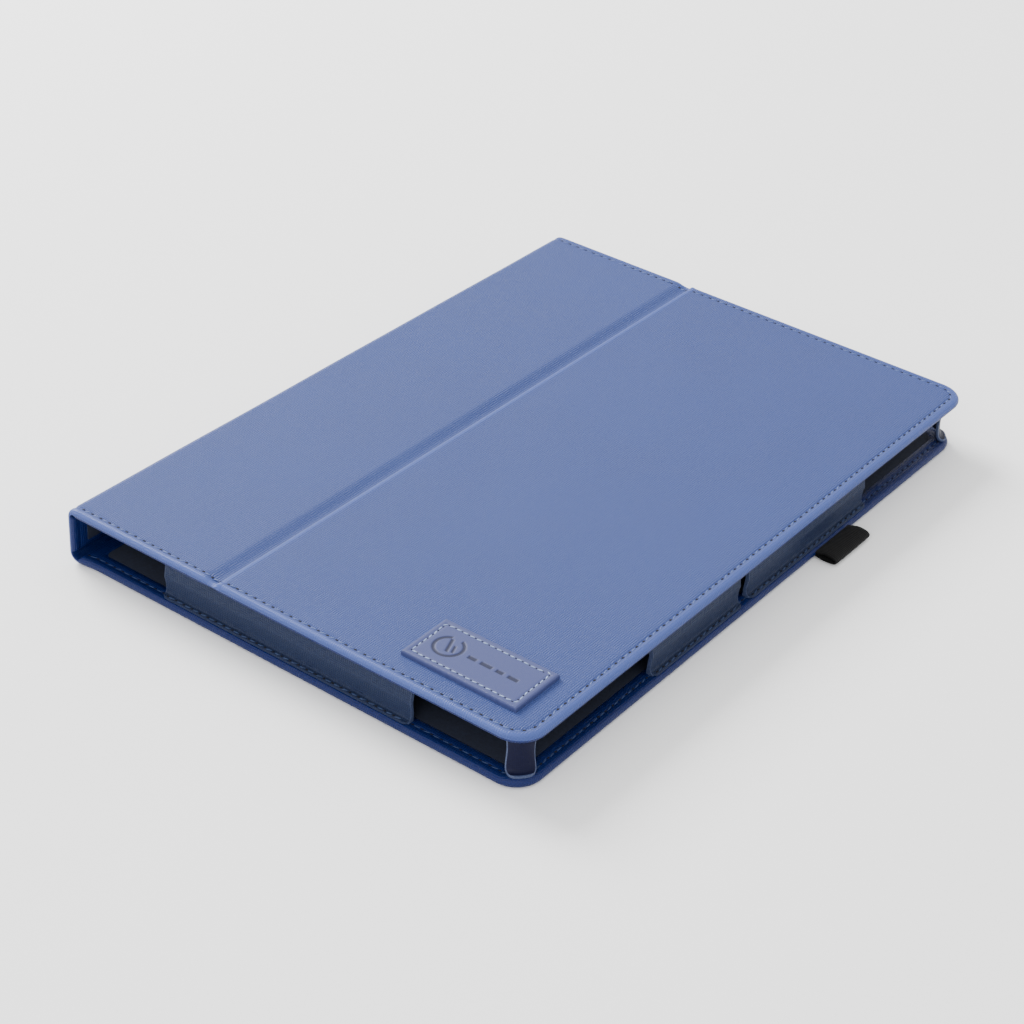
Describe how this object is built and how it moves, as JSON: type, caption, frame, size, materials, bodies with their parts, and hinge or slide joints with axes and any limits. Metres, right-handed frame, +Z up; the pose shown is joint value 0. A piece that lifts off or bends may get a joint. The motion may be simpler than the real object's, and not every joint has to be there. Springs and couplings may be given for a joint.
{
  "type": "tablet folio case",
  "caption": "Book-style folio case for a ten-inch tablet, with a framed pocket, a folding front cover that props it up, and a stylus loop.",
  "frame": {"origin": "middle of the back cover's underside, the face that the closed case lies on", "axes": "+X from the spine to the free edge, +Y along the spine, +Z up through the front cover"},
  "size_m": [0.1883, 0.26, 0.0218],
  "materials": {
    "cover_leather": "fine cross-grain, satin",
    "patch_leather": "smooth, satin",
    "pocket_leather": "fine cross-grain, satin",
    "lining_fabric": "brushed microfibre",
    "greyboard": "matt card",
    "elastic_web": "woven elastic",
    "magnet_nickel": "nickel plate",
    "keeper_steel": "plain sheet"
  },
  "bodies": {
    "back_cover": {"back_skin": "cover_leather", "back_board": "greyboard", "back_lining": "lining_fabric", "stylus_loop_tab": "elastic_web", "stand_keeper": "keeper_steel", "frame_skin": "pocket_leather", "frame_board": "greyboard", "frame_lining": "lining_fabric", "frame_keepers": "keeper_steel", "near_wall": "pocket_leather", "far_wall": "pocket_leather", "edge_wall_long": "pocket_leather", "edge_wall_short": "pocket_leather", "near_corner_strap": "pocket_leather", "far_corner_strap": "pocket_leather"},
    "spine": {"spine_skin": "cover_leather", "spine_board": "greyboard", "spine_lining": "lining_fabric", "rear_hinge_strip": "cover_leather", "front_hinge_strip": "cover_leather"},
    "narrow_panel": {"narrow_front_skin": "cover_leather", "narrow_front_board": "greyboard", "narrow_front_lining": "lining_fabric", "fold_strip_narrow": "cover_leather"},
    "wide_panel": {"wide_front_skin": "cover_leather", "wide_front_board": "greyboard", "wide_front_lining": "lining_fabric", "fold_strip_wide": "cover_leather", "closure_magnets": "magnet_nickel", "name_patch": "patch_leather"},
    "loop": {"stylus_loop": "elastic_web"}
  },
  "joints": [
    {"name": "rear_hinge", "type": "hinge", "parent": "back_cover", "child": "spine", "pos_m": [-0.089, 0, 0.0015], "axis": [0, -1, 0], "range_deg": [0, 180]},
    {"name": "front_hinge", "type": "hinge", "parent": "spine", "child": "narrow_panel", "pos_m": [-0.089, 0, 0.0187], "axis": [0, -1, 0], "range_deg": [0, 120]},
    {"name": "cover_fold", "type": "hinge", "parent": "narrow_panel", "child": "wide_panel", "pos_m": [-0.029, 0, 0.0184], "axis": [0, -1, 0], "range_deg": [0, 92]},
    {"name": "loop_swing", "type": "hinge", "parent": "back_cover", "child": "loop", "pos_m": [0.09, 0.042, 0.0015], "axis": [0, -1, 0], "range_deg": [-45, 40], "stiffness_Nm_per_rad": 0.002}
  ]
}
